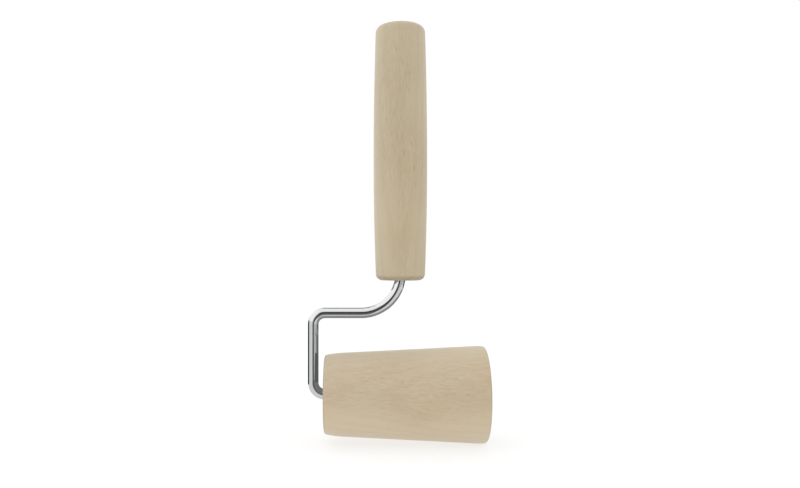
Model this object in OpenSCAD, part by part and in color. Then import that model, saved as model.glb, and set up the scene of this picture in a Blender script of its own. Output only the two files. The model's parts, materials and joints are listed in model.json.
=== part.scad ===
// Pastry roller: a turned handle on a bent wire, and a tapered roller that spins on the wire's end.
// The handle stands along +Z, the roller lies along +X with its large end at +X, and the wire is in
// the plane y = 0. The origin is under the middle of the part, at the roller's lowest line.

/* [Handle] */
// Length of the handle
handle_len = 118.5; // [90:0.5:160]
// Diameter at the belly, the thickest point of the handle
belly_d = 25; // [24:0.1:34]
// Height of the belly above the handle's foot
belly_h = 55.5; // [40:0.5:75]
// Diameter that the handle's sides reach at its top
handle_top_d = 22.9; // [18:0.1:24]
// Diameter that the handle's sides reach at its foot
handle_foot_d = 22.7; // [18:0.1:24]
// Radius of the rounded edge at the top
handle_top_round = 3.3; // [1:0.1:6]
// Radius of the rounded edge at the foot
handle_foot_round = 3; // [1:0.1:5]
// Length of wire that is glued into the handle
tang_len = 45; // [25:1:70]
// Room left between the tang's end and the bottom of its hole
tang_room = 1; // [0.5:0.5:5]

/* [Roller] */
// Length of the roller
roller_len = 75; // [60:1:110]
// Diameter that the taper reaches at the large end
roller_big_d = 45.3; // [36:0.1:70]
// Diameter that the taper reaches at the small end
roller_small_d = 37.8; // [28:0.1:60]
// How far the taper is eased off at the large end
big_ease = 0.3; // [0.1:0.05:1]
// Length over which the large end is eased
big_ease_len = 5.5; // [4:0.5:15]
// How far the taper is eased off at the small end
small_ease = 0.65; // [0.1:0.05:1.5]
// Length over which the small end is eased
small_ease_len = 9; // [4:0.5:20]
// Radius of the rounded edges at both ends
roller_round = 1.5; // [0.5:0.1:3]

/* [Wire] */
// Diameter of the wire
wire_d = 5; // [4:0.1:6]
// Bend radius of the bow below the handle, to the wire's middle
bow_r = 18.2; // [14:0.1:24]
// Bend radius of the crank's two corners, to the wire's middle
crank_r = 5.5; // [4:0.5:9]
// Height of the wire's level run above the roller's axis
run_h = 38; // [32:0.1:60]
// Height of the handle's foot above the level run
neck_h = 15.3; // [12:0.1:30]
// Distance from the crank's leg to the handle's axis
handle_offset = 40.7; // [32:0.1:60]
// Clear gap between the crank's leg and the roller's small end
crank_gap = 2.8; // [1.5:0.1:5]
// Chamfer on the wire's two ends
wire_chamfer = 0.5; // [0.2:0.1:1.2]

/* [Bushes] */
// Length of a bush below its flange
bush_len = 14; // [8:1:22]
// Wall of a bush
bush_wall = 1.75; // [1:0.05:3]
// Width of a bush's flange past its wall
flange_w = 1.7; // [1:0.1:3]
// Thickness of a bush's flange
flange_t = 1.5; // [1:0.1:3]

/* [Washers and retaining cap] */
// Width of a washer's ring
washer_w = 2.35; // [1.5:0.05:4]
// Thickness of a washer
washer_t = 1; // [0.5:0.1:2]
// Number of teeth on the retaining ring
tooth_count = 6; // [4:1:10]
// Length of the retaining ring's teeth, measured outward from the wire
tooth_len = 1.4; // [1:0.1:2]
// How far the teeth are bent up
tooth_rise = 0.8; // [0.4:0.1:1.5]
// Width of the slots between the teeth
tooth_slot = 0.7; // [0.4:0.1:1.2]
// Width of the retaining ring's flat rim
rim_w = 1.4; // [0.8:0.1:2.5]
// Thickness of the ring's and the cap's sheet
sheet_t = 0.4; // [0.3:0.05:0.8]
// Rise of the cap's dome
dome_rise = 1.2; // [0.6:0.1:2]
// How far the axle stands out of the retaining ring
axle_proud = 1; // [0.5:0.1:2]
// How far the cap lies below the roller's end face
cap_sink = 1.5; // [0.5:0.1:4]

/* [Clearances] */
// Radial running clearance of the bushes on the axle
run_clear = 0.05; // [0.02:0.01:0.1]
// Radial clearance of parts that are glued or pressed together
seat_clear = 0.03; // [0.01:0.01:0.1]
// Radial clearance of the washers on the axle
washer_clear = 0.15; // [0.1:0.05:0.5]
// Axial play between parts that turn against each other
end_play = 0.25; // [0.1:0.05:0.5]
// Clearance round the wire in the mouth of the handle's hole
mouth_clear = 0.4; // [0.2:0.1:1]
// Clearance round the flanges, washers and cap in the roller's recesses
recess_clear = 1; // [0.5:0.1:3]
// Clearance between the axle's end and the inside of the cap
tip_clear = 0.4; // [0.2:0.1:1]

/* [Hidden] */
$fn = 96;

// Colours
beech = [0.74, 0.68, 0.58];
pale_beech = [0.78, 0.71, 0.61];
polished_steel = [0.78, 0.79, 0.80];
zinc = [0.66, 0.67, 0.68];
spring_steel = [0.42, 0.43, 0.45];
white_nylon = [0.90, 0.89, 0.85];

// Steps of the turned outlines
edge_steps = 10;
side_steps = 24;
ease_steps = 6;
slope_step = 0.01;
cut_past = 1;

// Radii of the bearing pieces, from the axle outward
wire_r = wire_d / 2;
bush_bore_r = wire_r + run_clear;
bush_r = bush_bore_r + bush_wall;
flange_r = bush_r + flange_w;
washer_bore_r = wire_r + washer_clear;
washer_r = washer_bore_r + washer_w;
tooth_tip_r = wire_r + seat_clear;
tooth_root_r = tooth_tip_r + tooth_len;
ring_r = tooth_root_r + rim_w;
cap_inner_r = ring_r + seat_clear;
cap_r = cap_inner_r + sheet_t;
roller_bore_r = bush_r + seat_clear;
recess_r = max(flange_r, washer_r, cap_r) + recess_clear;

// Height of the cap over the ring, the teeth and the axle's end
axle_past_ring = sheet_t + tooth_rise + axle_proud;
cap_h = axle_past_ring + tip_clear + sheet_t;

// Places along the roller's axis
overall_w = wire_d + crank_gap + roller_len;
leg_x = wire_r - overall_w / 2;
handle_x = leg_x + handle_offset;
roller_x = leg_x + wire_r + crank_gap;
roller_end_x = roller_x + roller_len;
axle_x = leg_x + crank_r;
inner_washer_x = max(axle_x, roller_x) + end_play;
inner_flange_x = inner_washer_x + washer_t + end_play;
inner_floor_x = inner_flange_x + flange_t;
cap_x = roller_end_x - cap_sink - cap_h;
outer_washer_x = cap_x - washer_t;
outer_flange_x = outer_washer_x - end_play;
outer_floor_x = outer_flange_x - flange_t;

// Outline of the roller, as a radius at each distance from its small end
taper_slope = (roller_big_d - roller_small_d) / 2 / roller_len;
function eased(drop, distance, length) = distance < length ? drop * pow(1 - distance / length, 2) : 0;
roller_radius = function (h) roller_small_d / 2 + taper_slope * h
    - eased(small_ease, h, small_ease_len) - eased(big_ease, roller_len - h, big_ease_len);
roller_stations = [
    for (i = [1:ease_steps]) roller_round + (small_ease_len - roller_round) * i / ease_steps,
    for (i = [ease_steps:-1:1]) roller_len - roller_round - (big_ease_len - roller_round) * i / ease_steps
];

// Outline of the handle, as a radius at each height above its foot
handle_radius = function (h) h < belly_h
    ? belly_d / 2 - (belly_d - handle_foot_d) / 2 * pow(1 - h / belly_h, 2)
    : belly_d / 2 - (belly_d - handle_top_d) / 2 * pow((h - belly_h) / (handle_len - belly_h), 2);
handle_side = handle_len - handle_foot_round - handle_top_round;
handle_stations = [for (i = [1:side_steps - 1]) handle_foot_round + handle_side * i / side_steps];

// Points of an arc, and the angle at which an outline leans outward
function arc(centre, radius, from, to) = [
    for (i = [0:edge_steps])
        let (a = from + (to - from) * i / edge_steps)
            centre + radius * [cos(a), sin(a)]
];
function lean(radius_at, h) =
    atan((radius_at(h + slope_step) - radius_at(h - slope_step)) / (2 * slope_step));

// A turned outline with flat ends, whose rounded edges run smoothly into its sides
function low_edge(radius_at, round_r) =
    let (a = lean(radius_at, round_r), touch = round_r * (1 - sin(a)))
    arc([radius_at(touch) - round_r * cos(a), round_r], round_r, -90, -a);
function high_edge(radius_at, length, round_r) =
    let (a = lean(radius_at, length - round_r), touch = length - round_r * (1 + sin(a)))
    arc([radius_at(touch) - round_r * cos(a), length - round_r], round_r, -a, 90);
function turned_outline(length, radius_at, stations, low_round, high_round) = concat(
    [[0, 0]],
    low_edge(radius_at, low_round),
    [for (h = stations) [radius_at(h), h]],
    high_edge(radius_at, length, high_round),
    [[0, length]]
);
roller_outline = turned_outline(
    roller_len, roller_radius, roller_stations, roller_round, roller_round
);
handle_outline = turned_outline(
    handle_len, handle_radius, handle_stations, handle_foot_round, handle_top_round
);

// Heights
axis_z = max([for (p = roller_outline) p[0]]);
run_z = axis_z + run_h;
foot_z = run_z + neck_h;

// Lengths of the wire's straight stretches, from the tang to the axle's end
bow_sunk = bow_r - neck_h;
tang_straight = tang_len - bow_sunk;
run_len = handle_offset - bow_r - crank_r;
leg_len = run_h - 2 * crank_r;
axle_len = cap_x + axle_past_ring - axle_x;

// Mouth of the handle's hole, wide enough for the start of the bow
mouth_h = max(bow_sunk, 0) + wire_r;
mouth_lean = asin(max(bow_sunk, 0) / bow_r);
mouth_r = bow_r * (1 - cos(mouth_lean)) + wire_r / cos(mouth_lean) + mouth_clear;

// Lays a piece that is drawn along Z along the roller's axis, with its base at x
module on_axle(x) {
    translate([x, 0, axis_z]) rotate([0, 90, 0]) children();
}

// A straight stretch of wire along Z, with what follows at its end
module straight(length) {
    cylinder(r = wire_r, h = length);
    translate([0, 0, length]) children();
}

// A square bend of the wire from +Z towards +X, or towards -X where turn is -1
module bend(radius, turn) {
    mirror([turn < 0 ? 1 : 0, 0, 0])
        translate([radius, 0, 0]) rotate([90, 0, 0]) rotate([0, 0, 90])
            rotate_extrude(angle = 90) translate([radius, 0]) circle(r = wire_r);
    translate([turn * radius, 0, radius]) rotate([0, 90 * turn, 0]) children();
}

// A chamfered end of the wire, which points along -Z
module start_tip() {
    cylinder(r1 = wire_r - wire_chamfer, r2 = wire_r, h = wire_chamfer);
    translate([0, 0, wire_chamfer]) children();
}

// A chamfered end of the wire, which points along +Z
module end_tip() {
    cylinder(r1 = wire_r, r2 = wire_r - wire_chamfer, h = wire_chamfer);
}

module handle() {
    color(beech) translate([handle_x, 0, foot_z]) difference() {
        rotate_extrude() polygon(handle_outline);
        translate([0, 0, -cut_past]) cylinder(r = wire_r + seat_clear, h = tang_len + tang_room + cut_past);
        cylinder(r1 = mouth_r, r2 = wire_r + seat_clear, h = mouth_h);
    }
}

module wire_frame() {
    color(polished_steel) translate([handle_x, 0, foot_z + tang_len]) rotate([0, 180, 0])
        start_tip()
        straight(tang_straight - wire_chamfer)
        bend(bow_r, 1)
        straight(run_len)
        bend(crank_r, -1)
        straight(leg_len)
        bend(crank_r, -1)
        straight(axle_len - wire_chamfer)
        end_tip();
}

module roller() {
    color(pale_beech) difference() {
        on_axle(roller_x) rotate_extrude() polygon(roller_outline);
        on_axle(roller_x - cut_past) cylinder(r = roller_bore_r, h = roller_len + 2 * cut_past);
        on_axle(roller_x - cut_past) cylinder(r = recess_r, h = inner_floor_x - roller_x + cut_past);
        on_axle(outer_floor_x) cylinder(r = recess_r, h = roller_end_x - outer_floor_x + cut_past);
    }
}

// A flanged bush along Z, with its flange at the bottom
module bush() {
    color(white_nylon) difference() {
        union() {
            cylinder(r = flange_r, h = flange_t);
            cylinder(r = bush_r, h = flange_t + bush_len);
        }
        translate([0, 0, -cut_past]) cylinder(r = bush_bore_r, h = flange_t + bush_len + 2 * cut_past);
    }
}

module inner_bush() {
    on_axle(inner_flange_x) bush();
}

module outer_bush() {
    on_axle(outer_flange_x) mirror([0, 0, 1]) bush();
}

module washer() {
    color(zinc) difference() {
        cylinder(r = washer_r, h = washer_t);
        translate([0, 0, -cut_past]) cylinder(r = washer_bore_r, h = washer_t + 2 * cut_past);
    }
}

module inner_washer() {
    on_axle(inner_washer_x) washer();
}

module outer_washer() {
    on_axle(outer_washer_x) washer();
}

// A push-on ring whose bent teeth grip the axle
module retaining_ring() {
    color(spring_steel) on_axle(cap_x) difference() {
        rotate_extrude() polygon([
            [ring_r, 0], [ring_r, sheet_t], [tooth_root_r, sheet_t], [tooth_tip_r, sheet_t + tooth_rise],
            [tooth_tip_r, tooth_rise], [tooth_root_r, 0]
        ]);
        for (i = [1:tooth_count])
            rotate([0, 0, 360 * i / tooth_count]) translate([0, -tooth_slot / 2, -cut_past])
                cube([tooth_root_r, tooth_slot, cap_h + 2 * cut_past]);
    }
}

// A domed cap that is closed over the retaining ring and the axle's end
module axle_cap() {
    dome_r = (cap_r * cap_r + dome_rise * dome_rise) / (2 * dome_rise);
    dome_centre = [0, cap_h - dome_r];
    inner_dome_r = dome_r - sheet_t;
    color(polished_steel) on_axle(cap_x) rotate_extrude() polygon(concat(
        [[cap_inner_r, 0], [cap_r, 0]],
        arc(dome_centre, dome_r, acos(cap_r / dome_r), 90),
        arc(dome_centre, inner_dome_r, 90, acos(cap_inner_r / inner_dome_r))
    ));
}

handle();
wire_frame();
roller();
inner_bush();
outer_bush();
inner_washer();
outer_washer();
retaining_ring();
axle_cap();
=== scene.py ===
import json
import math
from itertools import accumulate

import bpy
from mathutils import Matrix, Vector


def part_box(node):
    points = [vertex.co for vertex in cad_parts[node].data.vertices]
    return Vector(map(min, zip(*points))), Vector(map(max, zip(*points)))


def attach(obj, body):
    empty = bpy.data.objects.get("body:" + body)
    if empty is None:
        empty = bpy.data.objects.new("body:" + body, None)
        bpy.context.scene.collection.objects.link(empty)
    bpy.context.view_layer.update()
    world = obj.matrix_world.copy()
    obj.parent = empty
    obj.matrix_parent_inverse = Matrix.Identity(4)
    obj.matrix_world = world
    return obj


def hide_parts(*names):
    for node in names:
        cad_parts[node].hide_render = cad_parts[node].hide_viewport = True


# Looks of a pastry roller: turned beech, a bright bent wire and the bearing pieces inside the roller.
# The handle stands along +Z, the roller lies along +X and the wire is in the plane y = 0. The pieces are
# placed in metres in the part's own frame. Grain and the sheets of the stage are given in millimetres.
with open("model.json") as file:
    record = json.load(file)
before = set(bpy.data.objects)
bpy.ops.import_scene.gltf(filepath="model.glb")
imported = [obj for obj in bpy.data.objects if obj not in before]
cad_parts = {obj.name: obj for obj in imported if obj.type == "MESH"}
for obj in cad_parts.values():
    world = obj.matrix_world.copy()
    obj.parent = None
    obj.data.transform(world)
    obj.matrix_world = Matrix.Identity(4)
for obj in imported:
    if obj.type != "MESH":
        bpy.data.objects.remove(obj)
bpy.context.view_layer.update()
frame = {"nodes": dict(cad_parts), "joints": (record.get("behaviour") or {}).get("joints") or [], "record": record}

MM = 0.001

# The photograph: its size, the pixel that the lens points at, the pixel of the frame's origin, the size
# of a pixel in the plane of the wire, and how many pixels away from that plane the lens is
PHOTO_SIZE = (800, 488)
LENS_PIXEL = (364.9, 260.0)
ORIGIN_PIXEL = (396.5, 442.3)
PIXEL = 0.4673 * MM
LENS_PIXELS_AWAY = 775.1

# The camera: the width of its sensor and the nearest distance that it sees
SENSOR_MM = 36.0
NEAREST_SEEN = 10 * MM

# The wire: the radii of its bends, to its middle, the height of its run and the chamfer of its ends
BOW_R = 18.2 * MM
CRANK_R = 5.5 * MM
RUN_ABOVE_AXLE = 38.0 * MM
WIRE_CHAMFER = 0.5 * MM

# How far sharp edges are rounded off
WOOD_EDGE = 0.3 * MM
NYLON_EDGE = 0.2 * MM
WASHER_EDGE = 0.15 * MM
CAP_EDGE = 0.1 * MM

# Fineness of the meshes
TURN_STEPS = 128
WIRE_STEPS = 56
BEND_STEPS = 45
STRAIGHT_STEP = 1.5 * MM
SOFT_STEPS = 4

# When a corner is sharp, two spots are the same and a spot is on the axis
SHARP_ANGLE = math.radians(32)
SAME_SPOT = 0.01 * MM
ON_AXIS = 0.001 * MM

# The largest share of an outline's side that the rounding of a corner takes
LARGEST_CUT = 0.45

# The two lines that the pieces are turned on: the handle's, through its end, and the roller's joint
HANDLE_X = frame["record"]["mounts"][0]["pos_m"][0]
AXLE_Z = frame["joints"][0]["pos_m"][2]
ALONG_HANDLE = Matrix.Translation((HANDLE_X, 0, 0))
ALONG_AXLE = Matrix.Translation((0, 0, AXLE_Z)) @ Matrix.Rotation(math.pi / 2, 4, "Y")


# Turned pieces

def spots_of(mesh, space):
    """The different spots of a turned mesh, as (radius, distance on the axis), and each vertex's own."""
    to_lathe = space.inverted()
    spots = []
    spot_of = []
    for vertex in mesh.vertices:
        place = to_lathe @ vertex.co
        spot = Vector((math.hypot(place.x, place.y), place.z))
        found = next((i for i, s in enumerate(spots) if (s - spot).length < SAME_SPOT), len(spots))
        if found == len(spots):
            spots.append(spot)
        spot_of.append(found)
    return spots, spot_of


def outline_of(node, space):
    """The outline of a turned solid, counter-clockwise in (radius, distance), read from its edges."""
    mesh = frame["nodes"][node].data
    spots, spot_of = spots_of(mesh, space)
    links = [set() for _ in spots]
    for edge in mesh.edges:
        first, second = (spot_of[v] for v in edge.vertices)
        if first != second:
            links[first].add(second)
            links[second].add(first)
    ends = [i for i, near in enumerate(links) if len(near) == 1]
    walk = [ends[0] if ends else 0]
    while onward := sorted(links[walk[-1]] - set(walk)):
        walk.append(onward[0])
    outline = [spots[i] for i in walk]
    if ends:
        outline = [Vector((0, outline[0].y)), *outline, Vector((0, outline[-1].y))]
        outline = [p for i, p in enumerate(outline) if i == 0 or (p - outline[i - 1]).length > ON_AXIS]
    return outline if signed_area(outline) > 0 else outline[::-1]


def signed_area(outline):
    """Twice the area inside an outline, above 0 where it runs counter-clockwise."""
    return sum(a.x * b.y - b.x * a.y for a, b in zip(outline, outline[1:] + outline[:1]))


def softened(outline, radius):
    """The outline with its sharp outward corners rounded off."""
    soft = []
    for before, corner, after in zip(outline[-1:] + outline[:-1], outline, outline[1:] + outline[:1]):
        come = corner - before
        leave = after - corner
        turn = math.atan2(come.x * leave.y - come.y * leave.x, come.dot(leave))
        if turn < SHARP_ANGLE or corner.x < ON_AXIS:
            soft.append(corner)
            continue
        cut = min(radius * math.tan(turn / 2), LARGEST_CUT * come.length, LARGEST_CUT * leave.length)
        start = corner - come.normalized() * cut
        end = corner + leave.normalized() * cut
        for step in range(SOFT_STEPS + 1):
            t = step / SOFT_STEPS
            soft.append(start * (1 - t) ** 2 + corner * 2 * t * (1 - t) + end * t ** 2)
    return soft


def skin(name, rings, lengths, closed):
    """A mesh of rings of vertices, with a flat map of it. A ring of one vertex is a tip."""
    vertices = [place for ring in rings for place in ring]
    starts = list(accumulate((len(ring) for ring in rings), initial=0))
    faces = []
    maps = []
    pairs = list(zip(range(len(rings)), range(1, len(rings))))
    if closed:
        pairs.append((len(rings) - 1, 0))
    around = max(len(ring) for ring in rings)
    for i, j in pairs:
        low, high = lengths[i], lengths[i + 1]
        for k in range(around):
            corners = [(i, k, low), (i, k + 1, low), (j, k + 1, high), (j, k, high)]
            if len(rings[i]) == 1:
                corners.pop(1)
            elif len(rings[j]) == 1:
                corners.pop(2)
            faces.append([starts[r] + step % len(rings[r]) for r, step, _ in corners])
            maps += [(step / around, height / lengths[-1]) for _, step, height in corners]
    mesh = bpy.data.meshes.new(name)
    mesh.from_pydata(vertices, [], faces)
    layer = mesh.uv_layers.new(name="OFBake")
    layer.data.foreach_set("uv", [number for pair in maps for number in pair])
    mesh.polygons.foreach_set("use_smooth", [True] * len(faces))
    mesh.set_sharp_from_angle(angle=SHARP_ANGLE)
    piece = bpy.data.objects.new(name, mesh)
    bpy.context.scene.collection.objects.link(piece)
    return piece


def turned(name, node, space, soft_edge):
    """A turned piece with even faces, made from the outline of a solid."""
    outline = softened(outline_of(node, space), soft_edge)
    closed = min(spot.x for spot in outline) > ON_AXIS
    rings = []
    for spot in outline:
        count = TURN_STEPS if spot.x > ON_AXIS else 1
        angles = [2 * math.pi * (k + 0.5) / TURN_STEPS for k in range(count)]
        ring = [Vector((spot.x * math.cos(a), spot.x * math.sin(a), spot.y)) for a in angles]
        rings.append([space @ place for place in ring])
    path = outline + outline[:1] if closed else outline
    steps = [(there - here).length for here, there in zip(path, path[1:])]
    return skin(name, rings, list(accumulate(steps, initial=0.0)), closed)


# The wire

# Ways to turn along the wire, as the lens sees them, and the direction from the wire's plane to the lens
LEFT = 1
RIGHT = -1
FRONT = Vector((0, -1, 0))


def left_of(heading):
    """The direction in the plane y = 0 that is square to a heading, on its left as the lens sees it."""
    return Vector((-heading.z, 0, heading.x))


def wire_route():
    """Places and headings along the middle of the wire from the tang to the axle, and the wire's radius."""
    low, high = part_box("wire_frame")
    radius = (high.y - low.y) / 2
    run_z = AXLE_Z + RUN_ABOVE_AXLE
    leg_x = low.x + radius
    heading = Vector((0, 0, -1))
    route = [(Vector((HANDLE_X, 0, high.z)), heading)]

    def straight(length):
        steps = math.ceil(length / STRAIGHT_STEP)
        start = route[-1][0]
        for step in range(1, steps + 1):
            route.append((start + heading * length * step / steps, heading))

    def bend(bend_radius, turn):
        nonlocal heading
        side = left_of(heading) * turn
        centre = route[-1][0] + side * bend_radius
        for step in range(1, BEND_STEPS + 1):
            angle = math.pi / 2 * step / BEND_STEPS
            outward = heading * math.sin(angle) - side * math.cos(angle)
            onward = heading * math.cos(angle) + side * math.sin(angle)
            route.append((centre + outward * bend_radius, onward))
        heading = side

    straight(high.z - run_z - BOW_R)
    bend(BOW_R, RIGHT)
    straight(HANDLE_X - BOW_R - CRANK_R - leg_x)
    bend(CRANK_R, LEFT)
    straight(RUN_ABOVE_AXLE - 2 * CRANK_R)
    bend(CRANK_R, LEFT)
    straight(high.x - leg_x - CRANK_R)
    return route, radius


def chamfered_end(place, heading, inward, radius):
    """The rings of one end of the wire from its tip inward, each as (place, heading, radius)."""
    shoulder = place + heading * WIRE_CHAMFER * inward
    return [(place, heading, 0.0), (place, heading, radius - WIRE_CHAMFER), (shoulder, heading, radius)]


def bent_wire(name):
    """The wire as one swept round bar with chamfered ends."""
    route, radius = wire_route()
    stations = chamfered_end(*route[0], 1, radius)
    stations += [(place, heading, radius) for place, heading in route[1:-1]]
    stations += reversed(chamfered_end(*route[-1], -1, radius))
    rings = []
    for place, heading, ring_radius in stations:
        count = WIRE_STEPS if ring_radius > 0 else 1
        angles = [2 * math.pi * k / WIRE_STEPS for k in range(count)]
        outward = [left_of(heading) * math.cos(a) + FRONT * math.sin(a) for a in angles]
        rings.append([place + direction * ring_radius for direction in outward])
    steps = [
        (there - here).length + abs(next_radius - ring_radius)
        for (here, _, ring_radius), (there, _, next_radius) in zip(stations, stations[1:])
    ]
    return skin(name, rings, list(accumulate(steps, initial=0.0)), closed=False)


# Materials

class Nodes:
    """Short calls that add nodes to a tree."""

    def __init__(self, tree):
        self.tree = tree
        tree.nodes.clear()

    def feed(self, socket, value):
        if isinstance(value, bpy.types.NodeSocket):
            self.tree.links.new(value, socket)
        else:
            socket.default_value = value

    def add(self, kind, inputs=(), **settings):
        node = self.tree.nodes.new("ShaderNode" + kind)
        for name, value in settings.items():
            setattr(node, name, value)
        for name, value in dict(inputs).items():
            self.feed(node.inputs[name], value)
        return node

    def math(self, operation, *values):
        node = self.add("Math", operation=operation)
        for socket, value in zip(node.inputs, values):
            self.feed(socket, value)
        return node.outputs[0]

    def vector(self, operation, *values):
        node = self.add("VectorMath", operation=operation)
        for socket, value in zip(node.inputs, values):
            self.feed(socket, value)
        return node.outputs["Value" if operation == "DOT_PRODUCT" else "Vector"]

    def apart(self, vector):
        return self.add("SeparateXYZ", {"Vector": vector}).outputs

    def together(self, x, y, z):
        return self.add("CombineXYZ", {"X": x, "Y": y, "Z": z}).outputs[0]

    def total(self, *marks):
        """The sum of some values, each given with its share."""
        result = 0.0
        for value, share in marks:
            result = self.math("MULTIPLY_ADD", value, share, result)
        return result

    def rising(self, value, low, high):
        """0 below low, 1 above high, and smooth between them."""
        sizes = {"Value": value, "From Min": low, "From Max": high}
        return self.add("MapRange", sizes, interpolation_type="SMOOTHSTEP").outputs[0]

    def falling(self, value, low, high):
        """1 below low, 0 above high, and smooth between them."""
        return self.math("SUBTRACT", 1.0, self.rising(value, low, high))

    def spread(self, value, low, high):
        """A value from 0 to 1, spread from low to high."""
        return self.add("MapRange", {"Value": value, "To Min": low, "To Max": high}).outputs[0]

    def noise(self, place, scale, detail, output="Fac"):
        inputs = {"Vector": place, "Scale": scale, "Detail": detail}
        return self.add("TexNoise", inputs).outputs[output]

    def streaks(self, place, scales, detail):
        """Noise that is drawn out, with a scale for each axis."""
        return self.noise(self.vector("MULTIPLY", place, scales), 1.0, detail)

    def cells(self, place, scale):
        return self.add("TexVoronoi", {"Vector": place, "Scale": scale}).outputs

    def mix(self, share, first, second, way="MIX"):
        node = self.add("Mix", data_type="RGBA", blend_type=way)
        for index, value in ((0, share), (6, first), (7, second)):
            self.feed(node.inputs[index], value)
        return node.outputs[2]

    def facing(self, direction):
        """1 where the surface faces a direction, 0 where it is square to it, -1 where it faces away."""
        return self.vector("DOT_PRODUCT", self.add("TexCoord").outputs["Normal"], direction)

    def bump(self, height, strength, depth):
        return self.add("Bump", {"Height": height, "Strength": strength, "Distance": depth}).outputs[0]

    def surface(self, **inputs):
        """The material's one shader, with its inputs named by their sockets' names in lower case."""
        shader = self.add("BsdfPrincipled")
        names = {socket.name.lower().replace(" ", "_"): socket for socket in shader.inputs}
        for name, value in inputs.items():
            self.feed(names[name], value)
        self.finish(shader)

    def blended(self, share, first, second):
        """Two shaders in one material, with a share of the second."""
        blend = self.add("MixShader", {"Fac": share})
        self.feed(blend.inputs[1], first.outputs[0])
        self.feed(blend.inputs[2], second.outputs[0])
        self.finish(blend)

    def finish(self, shader, kind="OutputMaterial"):
        self.feed(self.add(kind).inputs["Surface"], shader.outputs[0])


def rgb(red, green, blue):
    return (red, green, blue, 1.0)


def grey(tone):
    return rgb(tone, tone, tone)


def tinted(tone, red, green, blue):
    """A colour with each of its parts multiplied."""
    return rgb(tone[0] * red, tone[1] * green, tone[2] * blue)


def new_material(name):
    material = bpy.data.materials.new(name)
    material.use_nodes = True
    return material, Nodes(material.node_tree)


def millimetres(nodes, space):
    """A piece's own places in millimetres, with z along the axis of a lathe space."""
    place = nodes.add("TexCoord").outputs["Object"]
    shift, turn, size = (Matrix.Scale(1 / MM, 4) @ space.inverted()).decompose()
    inputs = {"Vector": place, "Location": shift, "Rotation": turn.to_euler(), "Scale": size}
    return nodes.add("Mapping", inputs).outputs[0]


# Beech in millimetres: the width of a growth ring and how many rings the grain drifts in each millimetre
# along it, how far the grain sways, and the width, length and depth of large and small rays
RING_WIDTH = 2.6
RING_DRIFT = 0.012
SWAY = (5.0, 5.0, 0.0)
LARGE_RAY = (0.8, 4.4, 14.0)
SMALL_RAY = (0.5, 2.5, 6.0)

# How far the surface faces the side with the full figure where the figure is neither full nor faint
HALF_FULL = 0.86


def end_grain_and_foot_shade(nodes, space, low_edge, high_edge):
    """1 on the flat ends and 0 along the sides, for the darker end grain. Where a low edge starts early, this
    reaches up the rounding of a foot as painted shade. Each edge says where on it this starts and is full.
    """
    facing = nodes.facing(space.to_3x3() @ Vector((0, 0, 1)))
    low = nodes.rising(nodes.math("MULTIPLY", facing, -1.0), *low_edge)
    high = nodes.rising(facing, *high_edge)
    return nodes.math("MAXIMUM", low, high)


def place_in_tree(nodes, place, pith):
    """The way round the tree, the way along it and the distance from its pith."""
    x, y, along = nodes.apart(nodes.vector("SUBTRACT", place, (*pith, 0.0)))
    around = nodes.math("MULTIPLY", nodes.math("ARCTAN2", y, x), math.hypot(*pith))
    squares = nodes.math("ADD", nodes.math("MULTIPLY", x, x), nodes.math("MULTIPLY", y, y))
    return around, along, nodes.math("SQRT", squares)


def late_wood(nodes, along, depth):
    """Growth rings, each darker towards its outer edge."""
    ring = nodes.math("FRACT", nodes.total((depth, 1 / RING_WIDTH), (along, RING_DRIFT)))
    return nodes.math("SUBTRACT", nodes.rising(ring, 0.3, 0.9), nodes.rising(ring, 0.92, 1.0))


def ray_flecks(nodes, tree_place, size, cover):
    """Spindle-shaped marks of rays: narrow across the grain, longer along it, deep towards the pith."""
    cells = nodes.cells(nodes.vector("DIVIDE", tree_place, size), 1.0)
    shape = nodes.falling(cells["Distance"], 0.1, 0.42)
    strength = nodes.rising(nodes.apart(cells["Color"])[0], 1.0 - cover, 1.0)
    return nodes.math("MULTIPLY", shape, strength)


def figure(nodes, tree_place, fibre, fullness):
    """The marks along the sides: large and small rays and fibres, stronger where the figure is full."""
    large = ray_flecks(nodes, tree_place, LARGE_RAY, cover=0.8)
    small = ray_flecks(nodes, tree_place, SMALL_RAY, cover=0.9)
    flecks = nodes.total((large, 0.19), (small, 0.15))
    fleck_share = nodes.spread(nodes.rising(fullness, 0.38, 0.62), 0.35, 1.3)
    fibre_share = nodes.spread(nodes.rising(fullness, 0.3, 0.6), 0.18, 0.56)
    return nodes.total((flecks, fleck_share), (fibre, fibre_share))


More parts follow.
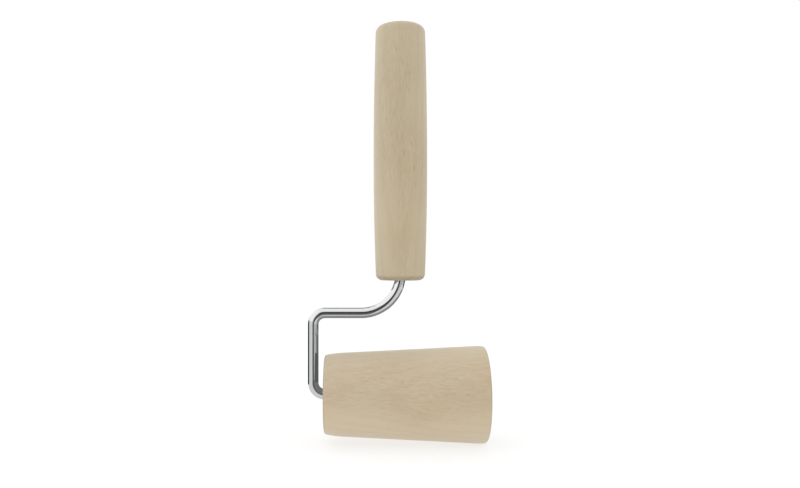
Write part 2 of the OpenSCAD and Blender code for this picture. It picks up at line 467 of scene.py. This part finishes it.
def beech(name, space, pith, edges, stripes, patch_shift, full_side, full_share, pale, deep):
    """Sanded pale beech as solid timber that was cut beside its pith.

    The pith is at (x, y) of the lathe space, edges are those of end_grain_and_foot_shade and stripes is their share of the
    shade. patch_shift picks the patches of figure, and full_share says how much fuller the full side is.
    """
    material, nodes = new_material(name)
    place = millimetres(nodes, space)
    wander = nodes.noise(place, scale=0.022, detail=1.0, output="Color")
    swayed = nodes.vector("MULTIPLY_ADD", nodes.vector("SUBTRACT", wander, (0.5, 0.5, 0.5)), SWAY, place)
    around, along, depth = place_in_tree(nodes, swayed, pith)
    ends = end_grain_and_foot_shade(nodes, space, *edges)
    sides = nodes.math("SUBTRACT", 1.0, ends)

    # The figure comes in patches, and is fullest on one side of the piece and opposite it
    patch = nodes.noise(nodes.vector("ADD", place, patch_shift), scale=0.018, detail=1.0)
    facing = nodes.math("ABSOLUTE", nodes.facing(Vector(full_side).normalized()))
    fullness = nodes.total((nodes.math("SUBTRACT", facing, HALF_FULL), full_share), (patch, 1.0))
    fibre = nodes.streaks(swayed, (1.5, 1.5, 0.22), detail=3.0)
    marks = figure(nodes, nodes.together(around, along, depth), fibre, fullness)
    marks = nodes.math("MULTIPLY", sides, marks)

    # Rings show best on the ends, and pores only there
    late = nodes.math("MULTIPLY", late_wood(nodes, along, depth), nodes.spread(ends, 0.3, 1.0))
    pores = nodes.math("MULTIPLY", nodes.falling(nodes.cells(swayed, 2.2)["Distance"], 0.1, 0.5), ends)
    stripe = nodes.streaks(swayed, (0.3, 0.3, 0.012), detail=1.0)
    cloud = nodes.noise(place, scale=0.035, detail=2.0)
    # The ends are darker: end grain on the flat ends, and painted shade on the rounding of the handle's foot.
    shade = nodes.total(
        (marks, 1.0), (late, 0.2), (stripe, stripes), (cloud, 0.12), (ends, 0.25), (pores, 0.2))
    colour = nodes.mix(shade, pale, deep)
    blush = nodes.rising(nodes.noise(place, scale=0.05, detail=1.0), 0.45, 0.75)
    colour = nodes.mix(nodes.math("MULTIPLY", blush, 0.5), colour, rgb(1.0, 0.955, 0.93), "MULTIPLY")
    # The ends are also greyer: end grain on the flat ends, and painted shade on the rounding of the handle's foot.
    colour = nodes.mix(ends, colour, rgb(0.79, 0.80, 0.80), "MULTIPLY")

    # Sanding marks run round the piece
    sanding = nodes.streaks(place, (0.4, 0.4, 9.0), detail=2.0)
    height = nodes.total((sanding, 0.35), (marks, -1.2))
    rough = nodes.total((nodes.spread(fibre, 0.44, 0.54), 1.0), (ends, 0.12))
    nodes.surface(base_color=colour, roughness=rough, specular_ior_level=0.22, sheen_weight=0.24,
                  sheen_roughness=0.5, normal=nodes.bump(height, strength=0.25, depth=0.05 * MM))
    return material


def bright_plate(name, tone, space, smooth, dull):
    """Bright plating: nearly a mirror, slightly hazy and uneven, with a fine grain."""
    material, nodes = new_material(name)
    place = millimetres(nodes, space)
    haze = nodes.noise(place, scale=0.35, detail=3.0)
    grain = nodes.noise(place, scale=6.0, detail=2.0)
    uneven = nodes.noise(place, scale=0.14, detail=1.0)
    colour = nodes.mix(haze, tone, tinted(tone, 0.94, 0.94, 0.94))
    height = nodes.total((uneven, 1.0), (grain, 0.01))
    nodes.surface(base_color=colour, metallic=1.0, roughness=nodes.spread(haze, smooth, dull),
                  normal=nodes.bump(height, strength=0.35, depth=0.25 * MM))
    return material


def nylon(name, tone, space):
    """Natural nylon, slightly cloudy, with the fine texture of a mould."""
    material, nodes = new_material(name)
    place = millimetres(nodes, space)
    cloud = nodes.noise(place, scale=0.3, detail=2.0)
    grain = nodes.noise(place, scale=7.0, detail=2.0)
    colour = nodes.mix(cloud, tone, tinted(tone, 0.9, 0.9, 0.9))
    nodes.surface(base_color=colour, roughness=nodes.spread(grain, 0.36, 0.5),
                  subsurface_weight=0.15, subsurface_radius=(1.2 * MM, 1.1 * MM, 0.9 * MM),
                  normal=nodes.bump(grain, strength=0.12, depth=0.04 * MM))
    return material


def zinc(name, tone, space):
    """Zinc plating: dull metal with small crystals and a faint yellow cast."""
    material, nodes = new_material(name)
    place = millimetres(nodes, space)
    crystals = nodes.apart(nodes.cells(place, 1.6)["Color"])[0]
    cast = nodes.noise(place, scale=0.5, detail=2.0)
    colour = nodes.mix(cast, tone, tinted(tone, 1.02, 1.0, 0.9))
    colour = nodes.mix(nodes.math("MULTIPLY", crystals, 0.3), colour, tinted(tone, 0.8, 0.8, 0.8))
    nodes.surface(base_color=colour, metallic=1.0, roughness=nodes.spread(crystals, 0.28, 0.42),
                  normal=nodes.bump(crystals, strength=0.06, depth=0.03 * MM))
    return material


def spring_steel(name, tone, space):
    """Oiled spring steel, dark and slightly mottled."""
    material, nodes = new_material(name)
    place = millimetres(nodes, space)
    mottle = nodes.noise(place, scale=1.1, detail=3.0)
    colour = nodes.mix(mottle, tone, tinted(tone, 0.7, 0.72, 0.8))
    nodes.surface(base_color=colour, metallic=1.0, roughness=nodes.spread(mottle, 0.3, 0.45),
                  normal=nodes.bump(mottle, strength=0.1, depth=0.03 * MM))
    return material


# Building the pieces

def dress(piece, material):
    piece.data.materials.clear()
    piece.data.materials.append(material)


def add_piece(piece, node, body, material):
    """Put a new piece in the place of a solid, on its body."""
    dress(piece, material)
    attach(piece, body)
    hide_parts(node)


# On the handle the low edge starts early, so the darker, greyer ends reach up the rounding of its foot as painted
# shade.
HANDLE_WOOD = beech(
    "handle_beech", ALONG_HANDLE, pith=(14.0, 70.0), edges=((0.1, 0.65), (0.8, 1.0)), stripes=0.16,
    patch_shift=(0.0, 120.0, 100.0), full_side=(0.0, -1.0, 0.0), full_share=0.1,
    pale=rgb(0.575, 0.493, 0.346), deep=rgb(0.351, 0.268, 0.157))
ROLLER_WOOD = beech(
    "roller_beech", ALONG_AXLE, pith=(10.0, 85.0), edges=((0.35, 0.95), (0.35, 0.95)), stripes=0.06,
    patch_shift=(35.0, 210.0, 15.0), full_side=(0.0, -1.0, 0.36), full_share=0.9,
    pale=rgb(0.623, 0.526, 0.377), deep=rgb(0.386, 0.287, 0.172))
WIRE_PLATE = bright_plate("wire_plate", rgb(0.575, 0.58, 0.585), ALONG_HANDLE, smooth=0.03, dull=0.09)
CAP_PLATE = bright_plate("cap_plate", rgb(0.56, 0.565, 0.57), ALONG_AXLE, smooth=0.18, dull=0.3)
NYLON = nylon("bush_nylon", rgb(0.80, 0.78, 0.72), ALONG_AXLE)
ZINC = zinc("washer_zinc", rgb(0.62, 0.63, 0.64), ALONG_AXLE)
SPRING_STEEL = spring_steel("ring_steel", rgb(0.30, 0.31, 0.33), ALONG_AXLE)

# Each turned piece: its node, body, slot, lathe space, material and the rounding of its sharp edges
FRAME_BODY = "handle_frame"
ROLLER_BODY = "spinning_roller"
TURNED = [
    ("handle", FRAME_BODY, "handle_wood", ALONG_HANDLE, HANDLE_WOOD, WOOD_EDGE),
    ("roller", ROLLER_BODY, "roller_wood", ALONG_AXLE, ROLLER_WOOD, WOOD_EDGE),
    ("inner_bush", ROLLER_BODY, "bush_nylon", ALONG_AXLE, NYLON, NYLON_EDGE),
    ("outer_bush", ROLLER_BODY, "bush_nylon", ALONG_AXLE, NYLON, NYLON_EDGE),
    ("inner_washer", FRAME_BODY, "washer_zinc", ALONG_AXLE, ZINC, WASHER_EDGE),
    ("outer_washer", FRAME_BODY, "washer_zinc", ALONG_AXLE, ZINC, WASHER_EDGE),
    ("axle_cap", FRAME_BODY, "cap_steel", ALONG_AXLE, CAP_PLATE, CAP_EDGE),
]
for node, body, slot, space, material, soft_edge in TURNED:
    add_piece(turned(node + "_turned", node, space, soft_edge), node, body, material)
add_piece(bent_wire("wire_frame_bent"), "wire_frame", FRAME_BODY, WIRE_PLATE)
dress(frame["nodes"]["retaining_ring"], SPRING_STEEL)


# The stage

# In millimetres: the floor's reach, the planes of the cards and the places on the wire that cards face
FLOOR_REACH = 4000
ON_FLOOR = 1
BEHIND_LENS = -412
BESIDE_ROLLER = -34
NEARER_WIRE = -34.2
FAR_LEFT = -400
CRANK_CORNER = (-38, 0, 60)
BOW_TOP = (0, 0, 75)

# In millimetres: the heights at which the cards beside the roller start, meet and end
GAP_FOOT = 3.5
GAP_BEND = 27.8
GAP_LEG = 41.5
GAP_TOP = 50

# The floor: its own white, how brightly it glows, and the share of the glow
FLOOR_WHITE = 0.86
FLOOR_GLOW = 1.12
GLOW_SHARE = 0.62

# What the lamps shine at, in metres
OBJECT_MIDDLE = (0, 0, 95 * MM)


def flat(name, corners, material):
    """A flat stage piece through four corners in millimetres."""
    mesh = bpy.data.meshes.new(name)
    mesh.from_pydata([Vector(corner) * MM for corner in corners], [], [(0, 1, 2, 3)])
    piece = bpy.data.objects.new(name, mesh)
    bpy.context.scene.collection.objects.link(piece)
    dress(piece, material)
    return piece


def seen_directly(nodes):
    """1 for rays from the camera and for those that metal or glass sends on, and 0 for plain light."""
    path = nodes.add("LightPath").outputs
    shiny = nodes.math("MAXIMUM", path["Is Glossy Ray"], path["Is Transmission Ray"])
    return nodes.math("MAXIMUM", path["Is Camera Ray"], shiny)


def pale_floor(name):
    """A white sheet that glows a little, so that shadows on it are faint."""
    material, nodes = new_material(name)
    cloth = nodes.add("BsdfDiffuse", {"Color": grey(FLOOR_WHITE)})
    glow = nodes.add("Emission", {"Color": grey(1), "Strength": FLOOR_GLOW})
    nodes.blended(GLOW_SHARE, cloth, glow)
    return material


def white_world(plain_light, dark_side, dip):
    """A white studio: plain light, less of it from one side, and white where it is seen directly."""
    world = bpy.data.worlds.new("studio")
    world.use_nodes = True
    nodes = Nodes(world.node_tree)
    direction = nodes.add("TexCoord").outputs["Generated"]
    dark = nodes.rising(nodes.vector("DOT_PRODUCT", direction, Vector(dark_side).normalized()), 0.4, 1.0)
    plain = nodes.math("SUBTRACT", plain_light, nodes.math("MULTIPLY", dark, dip))
    strength = nodes.spread(seen_directly(nodes), plain, 1.0)
    nodes.finish(nodes.add("Background", {"Color": grey(1), "Strength": strength}), "OutputWorld")
    bpy.context.scene.world = world


def plain_tone(name, tone):
    """An even tone on the front of a sheet whose back is clear."""
    material, nodes = new_material(name)
    back = nodes.add("NewGeometry").outputs["Backfacing"]
    nodes.blended(back, nodes.add("Emission", {"Color": grey(tone)}), nodes.add("BsdfTransparent"))
    return material


def card(name, corners, tone, towards=CRANK_CORNER):
    """A card that only shiny surfaces show, with its front towards a place."""
    first, second, third, _ = (Vector(corner) for corner in corners)
    front = (second - first).cross(third - second)
    faces_place = front.dot(Vector(towards) - first) > 0
    piece = flat(name, corners if faces_place else corners[::-1], plain_tone(name, tone))
    piece.visible_camera = False
    piece.visible_diffuse = False
    piece.visible_transmission = False
    piece.visible_shadow = False


def upright(first, second, low, high):
    """Corners of an upright sheet between two (x, y) places and two heights."""
    return [(*first, low), (*second, low), (*second, high), (*first, high)]


def on_floor(*places):
    """Corners of a sheet that lies on the floor, from its (x, y) places."""
    return [(*place, ON_FLOOR) for place in places]


def beside_roller(front, back, low, high):
    """Corners of an upright sheet beside the roller's small end."""
    return upright((BESIDE_ROLLER, front), (BESIDE_ROLLER, back), low, high)


def spanned(first, second):
    """Corners of a sheet between two edges that run along x, each given as ((x from, x to), y, z)."""
    (left, right), y, z = first
    (next_left, next_right), next_y, next_z = second
    return [(left, y, z), (right, y, z), (next_right, next_y, next_z), (next_left, next_y, next_z)]


def soft_lamp(name, place, size, power):
    """A square lamp that shines at the middle of the object."""
    light = bpy.data.lights.new(name, "AREA")
    light.shape = "SQUARE"
    light.size = size
    light.energy = power
    lamp = bpy.data.objects.new(name, light)
    bpy.context.scene.collection.objects.link(lamp)
    turn = (Vector(place) - Vector(OBJECT_MIDDLE)).to_track_quat("Z", "Y").to_matrix().to_4x4()
    lamp.matrix_world = Matrix.Translation(place) @ turn


def photo_camera():
    """A camera where the photograph was taken from, level and square to the plane of the wire."""
    width, height = PHOTO_SIZE
    across = LENS_PIXEL[0] - ORIGIN_PIXEL[0]
    up = ORIGIN_PIXEL[1] - LENS_PIXEL[1]
    data = bpy.data.cameras.new("photo_camera")
    data.sensor_fit = "HORIZONTAL"
    data.sensor_width = SENSOR_MM
    data.lens = SENSOR_MM * LENS_PIXELS_AWAY / width
    data.shift_x = (width / 2 - LENS_PIXEL[0]) / width
    data.shift_y = (LENS_PIXEL[1] - height / 2) / width
    data.clip_start = NEAREST_SEEN
    camera = bpy.data.objects.new("photo_camera", data)
    bpy.context.scene.collection.objects.link(camera)
    camera.location = (across * PIXEL, -LENS_PIXELS_AWAY * PIXEL, up * PIXEL)
    camera.rotation_euler = (math.pi / 2, 0, 0)
    bpy.context.scene.camera = camera


floor_span = (-FLOOR_REACH, FLOOR_REACH)
floor_corners = spanned((floor_span, -FLOOR_REACH, 0), (floor_span, FLOOR_REACH, 0))
flat("floor", floor_corners, pale_floor("pale_floor"))
white_world(plain_light=0.99, dark_side=(0.8, 0.5, -0.3), dip=0.4)
photo_camera()
soft_lamp("key_lamp", place=(-0.9, -0.7, 1.2), size=0.9, power=0.5)
soft_lamp("top_lamp", place=(-0.1, 0.35, 1.6), size=0.8, power=2.2)

# The cards give the wire its bands. The first stand behind the lens or lie on the floor before it.
card("card_lens", upright((-140, BEHIND_LENS), (110, BEHIND_LENS), 60, 260), tone=0.04)
card("card_lens_low", upright((-140, BEHIND_LENS), (110, BEHIND_LENS), 0, 60), tone=0.18)
card("card_near", on_floor((-70, -150), (25, -150), (110, BEHIND_LENS), (-140, BEHIND_LENS)), tone=0.12)
card("card_nearest", on_floor((-50, -65), (0, -65), (25, -150), (-70, -150)), tone=0.35)

# Cards to the left and right of the object, and above it at the back
card("card_left", upright((-187, 5), (-78, 145), 0, 75), tone=0.01)
card("card_right", upright((260, 21), (39, 290), 0, 90), tone=0.10)
card("card_right_far", upright((111, -371), (361, 0), 0, 110), tone=0.70)
card("card_right_low", on_floor((38, 25), (170, 0), (170, 200), (38, 200)), tone=0.40)
card("card_above", spanned(((-85, 35), 112, 338), ((-85, 35), 260, 210)), tone=0.12)

# Small cards between the wire and the roller, and one by the handle's foot. They take the place of the wood in the
# wire's reflection and show it as neutral grey, a painted reflection of shaded wood.
card("card_gap", beside_roller(-19, 19, GAP_BEND, GAP_LEG), tone=0.17)
card("card_gap_low", beside_roller(-19, 19, GAP_FOOT, GAP_BEND), tone=0.27)
gap_front = [(-15, GAP_BEND), (-9.5, GAP_BEND), (-6.5, GAP_LEG), (-15, GAP_LEG)]
card("card_gap_front", [(NEARER_WIRE, y, z) for y, z in gap_front], tone=0.75)
card("card_gap_top", beside_roller(-3, 19, GAP_LEG, GAP_TOP), tone=0.24)
card("card_roller", spanned(((-35, 40), -7, GAP_TOP), ((-35, 40), 12, GAP_TOP)), tone=0.40)
card("card_foot", upright((-30, 3), (-30, 80), 77, 85), tone=0.30, towards=BOW_TOP)

# Bright cards overhead and at the upper left
card("card_top", spanned(((FAR_LEFT, 350), -1000, 900), ((FAR_LEFT, 350), 240, 900)), tone=1.4)
card("card_upper_left", upright((FAR_LEFT, -800), (FAR_LEFT, 700), 120, 900), tone=1.5)
card("card_upper_left_low", upright((FAR_LEFT, -800), (FAR_LEFT, 700), 60, 120), tone=1.2)

bpy.context.scene.view_settings.view_transform = "Standard"
